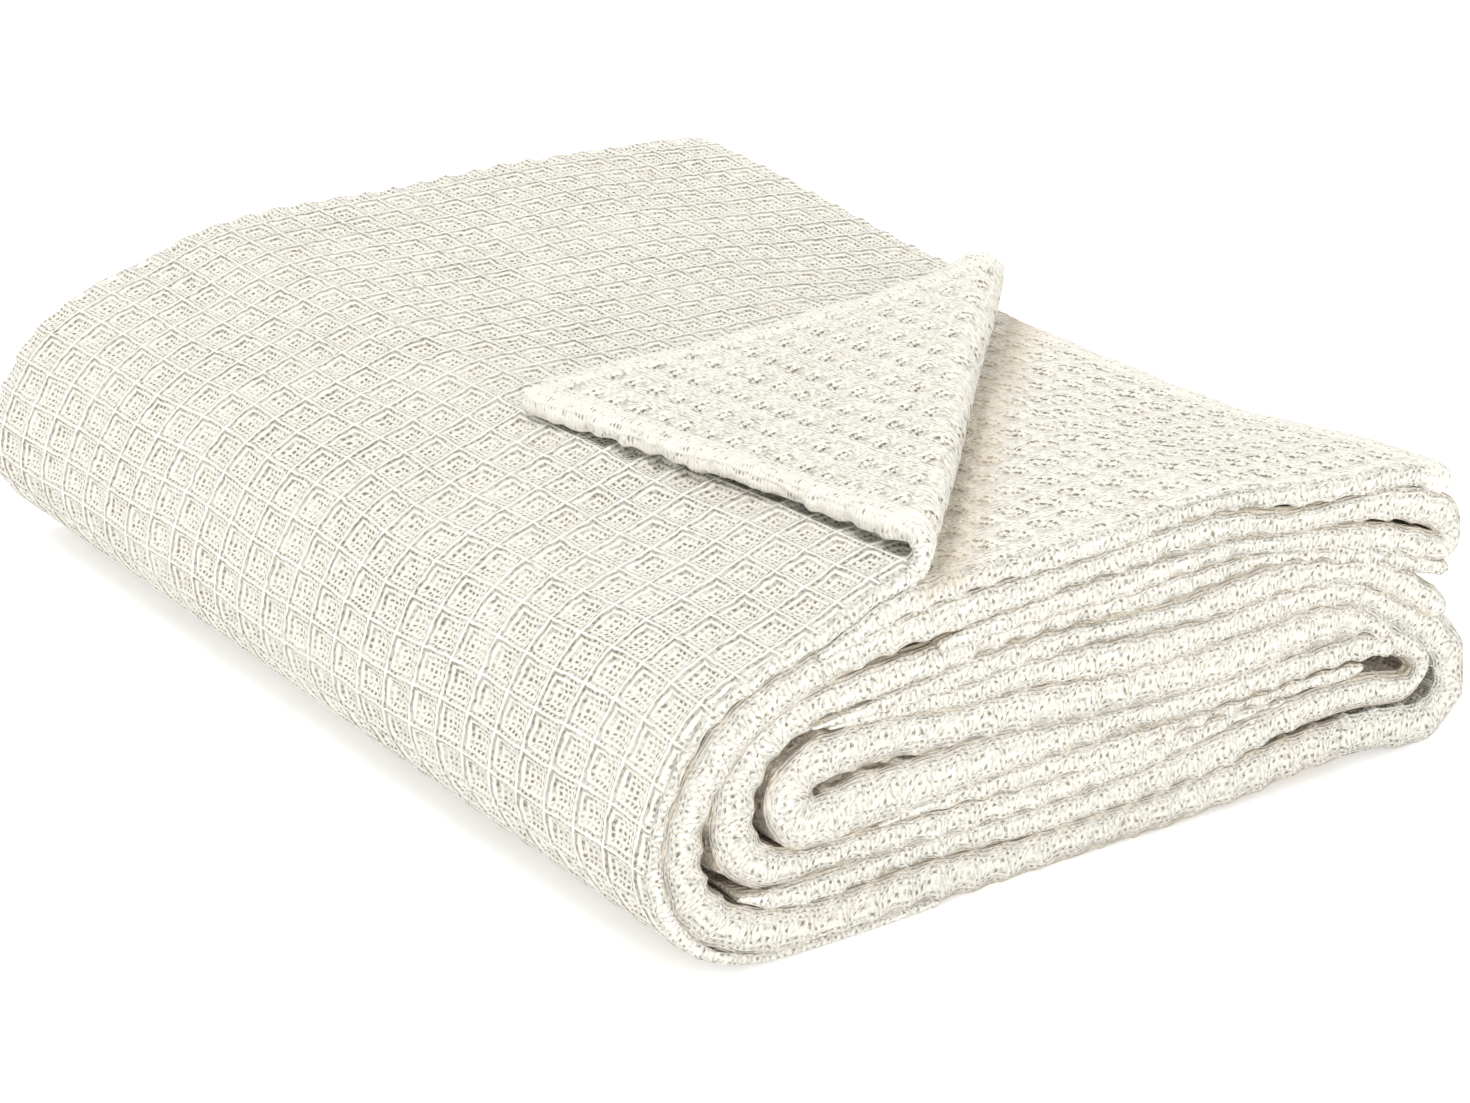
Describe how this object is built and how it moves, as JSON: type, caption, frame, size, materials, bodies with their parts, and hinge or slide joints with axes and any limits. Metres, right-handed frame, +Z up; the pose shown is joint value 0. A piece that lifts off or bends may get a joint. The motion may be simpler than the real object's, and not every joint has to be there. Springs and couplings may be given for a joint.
{
  "type": "folded throw blanket",
  "caption": "Folded throw blanket in a square-celled waffle weave, rolled flat, with one corner turned back over the top leaf.",
  "frame": {"origin": "middle of the footprint, on the surface that the throw lies on", "axes": "+X across the leaves from the big left turn to the free ends of the leaves, +Y along the roll, +Z up"},
  "size_m": [0.316, 0.41, 0.117],
  "materials": {
    "waffle_face": "matte ivory cotton, deep square waffle cells with raised ridges",
    "waffle_reverse": "matte ivory cotton, reverse of the waffle with soft raised pads between sunk lines",
    "hem": "matte ivory cotton, cloth turned over and flattened into a narrow soft hem",
    "thread": "matte cotton sewing thread"
  },
  "bodies": {
    "stack": {"outer_left_fold": "waffle_face", "outer_bottom_leaf": "waffle_face", "wrap_top_leaf": "waffle_face", "wrap_left_fold": "waffle_face", "wrap_bottom_leaf": "waffle_face", "right_upper_fold": "waffle_face", "middle_top_leaf": "waffle_face", "middle_left_fold": "waffle_face", "middle_bottom_leaf": "waffle_face", "right_inner_fold": "waffle_face", "right_outer_fold": "waffle_face", "core_upper_leaf": "waffle_face", "core_left_fold": "waffle_face", "core_lower_leaf": "waffle_face", "inner_end_leaf": "waffle_face", "inner_long_leaf": "waffle_face", "tucked_upper_leaf": "waffle_face", "tucked_fold": "waffle_face", "tucked_lower_leaf": "waffle_face"},
    "top_page": {"top_leaf": "waffle_face", "top_leaf_side_hem": "hem", "top_leaf_end_hem": "hem", "top_leaf_stitching": "thread", "second_leaf": "waffle_reverse", "second_leaf_end_hem": "hem", "second_leaf_stitching": "thread"},
    "corner": {"corner_flap": "waffle_reverse", "flap_side_hem": "hem", "flap_end_hem": "hem", "flap_stitching": "thread"}
  },
  "joints": [
    {"name": "page_turn", "type": "hinge", "parent": "stack", "child": "top_page", "pos_m": [-0.10105, -0.205, 0.1133], "axis": [0, -0.9995, 0.0317], "range_deg": [0, 120]},
    {"name": "corner_fold", "type": "hinge", "parent": "top_page", "child": "corner", "pos_m": [-0.06, -0.205, 0.11195], "axis": [0.7063, 0.7063, -0.0482], "range_deg": [0, 178]}
  ]
}
